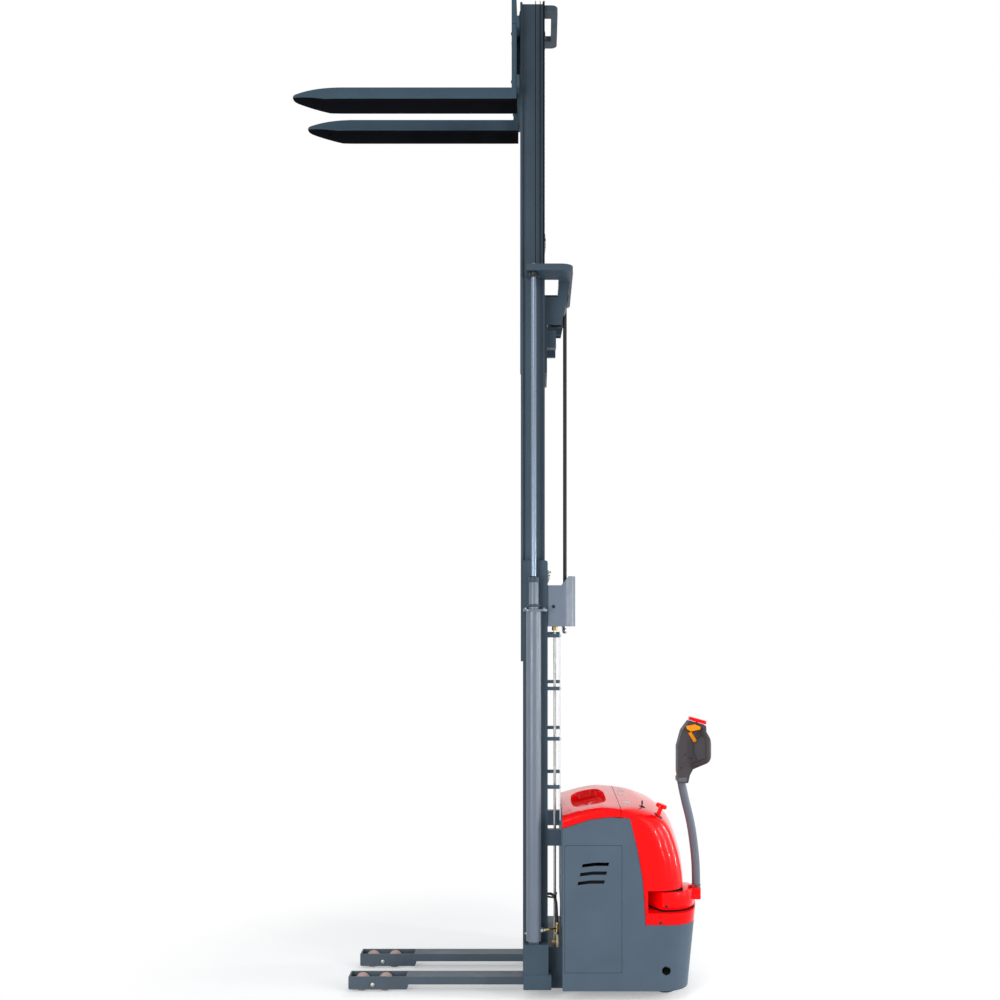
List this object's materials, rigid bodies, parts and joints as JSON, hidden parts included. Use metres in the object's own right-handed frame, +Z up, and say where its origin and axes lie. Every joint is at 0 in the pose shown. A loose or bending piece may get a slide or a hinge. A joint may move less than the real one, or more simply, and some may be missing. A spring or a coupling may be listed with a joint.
{
  "type": "pedestrian electric stacker",
  "caption": "Walk-behind electric pallet stacker with a raised telescopic mast, forks over support legs, a battery body and a spring-returned tiller.",
  "frame": {"origin": "floor level, at the centre of the bounding box in plan", "axes": "+X from the fork tips towards the tiller, +Y to the truck's left and -Y to its right as seen from in front of the forks, +Z up along the mast"},
  "size_m": [2.174, 0.8, 5.18],
  "materials": {
    "mast_paint": "satin coat",
    "fork_paint": "satin coat",
    "body_grey": "fine textured satin",
    "body_red": "smooth gloss",
    "dark_plastic": "fine matte",
    "bright_orange": "smooth gloss",
    "bare_steel": "ground",
    "zinc_steel": "zinc plated",
    "rod_chrome": "polished",
    "chain_steel": "oiled",
    "hose_rubber": "matte",
    "wheel_rubber": "matte",
    "roller_pu": "matte",
    "cast_housing": "painted black",
    "clear_sheet": "clear",
    "battery_case": "matte"
  },
  "bodies": {
    "chassis": {"chassis_frame": "mast_paint", "support_legs": "mast_paint", "mast_shoes": "mast_paint", "outer_rails": "mast_paint", "hose_guard": "mast_paint", "lift_barrels": "mast_paint", "mast_ties": "mast_paint", "mast_guard": "clear_sheet", "guard_brackets": "zinc_steel", "feed_pipe": "zinc_steel", "front_panel": "body_grey", "right_side_cover": "body_grey", "left_side_cover": "body_grey", "service_panels": "body_grey", "nose_cover": "body_red", "skirt_ring": "body_red", "battery": "battery_case", "power_pack": "cast_housing"},
    "middle_mast": {"middle_frame": "mast_paint", "mast_crosshead": "mast_paint", "lift_rods": "rod_chrome", "lift_chains": "chain_steel", "lift_hose": "hose_rubber"},
    "inner_mast": {"inner_rails": "mast_paint", "inner_base": "mast_paint", "inner_top_tie": "mast_paint", "free_lift_barrel": "mast_paint"},
    "free_lift": {"free_lift_rod": "rod_chrome", "carriage_chains": "chain_steel"},
    "carriage": {"carriage_frame": "fork_paint", "load_backrest": "fork_paint", "left_fork": "fork_paint", "right_fork": "fork_paint"},
    "steering": {"steering_hub": "cast_housing", "drive_unit": "cast_housing"},
    "tiller": {"tiller_arm": "dark_plastic", "tiller_head": "dark_plastic"},
    "outer_top_rollers": {"outer_top_rollers": "bare_steel"},
    "middle_low_rollers": {"middle_low_rollers": "bare_steel"},
    "middle_top_rollers": {"middle_top_rollers": "bare_steel"},
    "inner_low_rollers": {"inner_low_rollers": "bare_steel"},
    "carriage_low_rollers": {"carriage_low_rollers": "bare_steel"},
    "carriage_top_rollers": {"carriage_top_rollers": "bare_steel"},
    "lift_sheaves": {"lift_sheaves": "bare_steel"},
    "chain_sheaves": {"chain_sheaves": "bare_steel"},
    "battery_lid": {"battery_lid": "body_red"},
    "stop_knob": {"stop_knob": "body_red"},
    "ignition_key": {"ignition_key": "zinc_steel"},
    "drive_wheel": {"drive_wheel": "wheel_rubber"},
    "castor_fork": {"castor_fork": "cast_housing"},
    "castor_wheel": {"castor_wheel": "wheel_rubber"},
    "left_bogie": {"left_bogie": "zinc_steel"},
    "right_bogie": {"right_bogie": "zinc_steel"},
    "left_front_roller": {"left_front_roller": "roller_pu"},
    "left_rear_roller": {"left_rear_roller": "roller_pu"},
    "right_front_roller": {"right_front_roller": "roller_pu"},
    "right_rear_roller": {"right_rear_roller": "roller_pu"},
    "lift_rocker": {"lift_rocker": "bright_orange"},
    "thumb_throttle": {"thumb_throttle": "bright_orange"},
    "belly_button": {"belly_button": "body_red"}
  },
  "joints": [
    {"name": "mast_lift", "type": "slide", "parent": "chassis", "child": "middle_mast", "axis": [0, 0, 1], "range_m": [-1.47, 0], "deforming": ["lift_chains", "lift_hose"]},
    {"name": "inner_mast_lift", "type": "slide", "parent": "middle_mast", "child": "inner_mast", "axis": [0, 0, 1], "range_m": [-1.47, 0]},
    {"name": "free_lift", "type": "slide", "parent": "inner_mast", "child": "free_lift", "axis": [0, 0, 1], "range_m": [-0.83, 0], "deforming": ["carriage_chains"]},
    {"name": "carriage_lift", "type": "slide", "parent": "free_lift", "child": "carriage", "axis": [0, 0, 1], "range_m": [-0.83, 0]},
    {"name": "lift_sheave_turn", "type": "hinge", "parent": "middle_mast", "child": "lift_sheaves", "pos_m": [0.29, 0, 3.585], "axis": [0, 1, 0], "continuous": true},
    {"name": "chain_sheave_turn", "type": "hinge", "parent": "free_lift", "child": "chain_sheaves", "pos_m": [0.175, 0, 5.077], "axis": [0, 1, 0], "continuous": true},
    {"name": "outer_top_roll", "type": "hinge", "parent": "chassis", "child": "outer_top_rollers", "pos_m": [0.1725, 0, 2.176], "axis": [0, 1, 0], "continuous": true},
    {"name": "middle_low_roll", "type": "hinge", "parent": "middle_mast", "child": "middle_low_rollers", "pos_m": [0.186, 0, 1.785], "axis": [0, 1, 0], "continuous": true},
    {"name": "middle_top_roll", "type": "hinge", "parent": "middle_mast", "child": "middle_top_rollers", "pos_m": [0.1705, 0, 3.651], "axis": [0, 1, 0], "continuous": true},
    {"name": "inner_low_roll", "type": "hinge", "parent": "inner_mast", "child": "inner_low_rollers", "pos_m": [0.1725, 0, 3.297], "axis": [0, 1, 0], "continuous": true},
    {"name": "carriage_low_roll", "type": "hinge", "parent": "carriage", "child": "carriage_low_rollers", "pos_m": [0.1705, 0, 4.943], "axis": [0, 1, 0], "continuous": true},
    {"name": "carriage_top_roll", "type": "hinge", "parent": "carriage", "child": "carriage_top_rollers", "pos_m": [0.1705, 0, 5.12], "axis": [0, 1, 0], "continuous": true},
    {"name": "steering_turn", "type": "hinge", "parent": "chassis", "child": "steering", "pos_m": [0.863, -0.22, 0.4], "axis": [0, 0, 1], "range_deg": [-30, 30]},
    {"name": "drive_spin", "type": "hinge", "parent": "steering", "child": "drive_wheel", "pos_m": [0.863, -0.22, 0.1], "axis": [0, 1, 0], "continuous": true},
    {"name": "tiller_tilt", "type": "hinge", "parent": "steering", "child": "tiller", "pos_m": [1.026, -0.22, 0.522], "axis": [0, 1, 0], "range_deg": [0, 75], "stiffness_Nm_per_rad": 45, "springref_deg": -28.65},
    {"name": "throttle_turn", "type": "hinge", "parent": "tiller", "child": "thumb_throttle", "pos_m": [1.004, -0.22, 1.38], "axis": [0, 1, 0], "range_deg": [-20, 20], "stiffness_Nm_per_rad": 0.8},
    {"name": "rocker_tip", "type": "hinge", "parent": "tiller", "child": "lift_rocker", "pos_m": [1.002, -0.254, 1.331], "axis": [0.8503, 0, 0.5264], "range_deg": [-4, 4], "stiffness_Nm_per_rad": 0.6},
    {"name": "belly_press", "type": "slide", "parent": "tiller", "child": "belly_button", "axis": [0.2604, 0, 0.9655], "range_m": [-0.005, 0], "stiffness_N_per_m": 600},
    {"name": "stop_press", "type": "slide", "parent": "chassis", "child": "stop_knob", "axis": [0.342, 0, 0.9397], "range_m": [-0.012, 0]},
    {"name": "key_turn", "type": "hinge", "parent": "chassis", "child": "ignition_key", "pos_m": [0.741, -0.25, 0.98], "axis": [0, 0, 1], "range_deg": [0, 90]},
    {"name": "lid_open", "type": "hinge", "parent": "chassis", "child": "battery_lid", "pos_m": [0.62, 0, 0.9945], "axis": [0, 1, 0], "range_deg": [0, 60]},
    {"name": "castor_swivel", "type": "hinge", "parent": "chassis", "child": "castor_fork", "pos_m": [0.863, 0.26, 0.3], "axis": [0, 0, 1], "continuous": true},
    {"name": "castor_spin", "type": "hinge", "parent": "castor_fork", "child": "castor_wheel", "pos_m": [0.903, 0.26, 0.065], "axis": [0, 1, 0], "continuous": true},
    {"name": "left_bogie_rock", "type": "hinge", "parent": "chassis", "child": "left_bogie", "pos_m": [-0.662, 0.195, 0.04], "axis": [0, 1, 0], "range_deg": [-4, 4]},
    {"name": "left_front_spin", "type": "hinge", "parent": "left_bogie", "child": "left_front_roller", "pos_m": [-0.723, 0.195, 0.04], "axis": [0, 1, 0], "continuous": true},
    {"name": "left_rear_spin", "type": "hinge", "parent": "left_bogie", "child": "left_rear_roller", "pos_m": [-0.601, 0.195, 0.04], "axis": [0, 1, 0], "continuous": true},
    {"name": "right_bogie_rock", "type": "hinge", "parent": "chassis", "child": "right_bogie", "pos_m": [-0.662, -0.195, 0.04], "axis": [0, 1, 0], "range_deg": [-4, 4]},
    {"name": "right_front_spin", "type": "hinge", "parent": "right_bogie", "child": "right_front_roller", "pos_m": [-0.723, -0.195, 0.04], "axis": [0, 1, 0], "continuous": true},
    {"name": "right_rear_spin", "type": "hinge", "parent": "right_bogie", "child": "right_rear_roller", "pos_m": [-0.601, -0.195, 0.04], "axis": [0, 1, 0], "continuous": true}
  ],
  "couplings": [
    {"joint": "inner_mast_lift", "follows": "mast_lift", "ratio": 1},
    {"joint": "lift_sheave_turn", "follows": "mast_lift", "rad_per_m": 19.231},
    {"joint": "outer_top_roll", "follows": "mast_lift", "rad_per_m": 20.202},
    {"joint": "middle_low_roll", "follows": "mast_lift", "rad_per_m": -19.608},
    {"joint": "middle_top_roll", "follows": "mast_lift", "rad_per_m": 19.417},
    {"joint": "inner_low_roll", "follows": "mast_lift", "rad_per_m": -20.202},
    {"joint": "carriage_lift", "follows": "free_lift", "ratio": 1},
    {"joint": "chain_sheave_turn", "follows": "free_lift", "rad_per_m": 17.857},
    {"joint": "carriage_low_roll", "follows": "free_lift", "rad_per_m": -38.835},
    {"joint": "carriage_top_roll", "follows": "free_lift", "rad_per_m": 38.835}
  ]
}
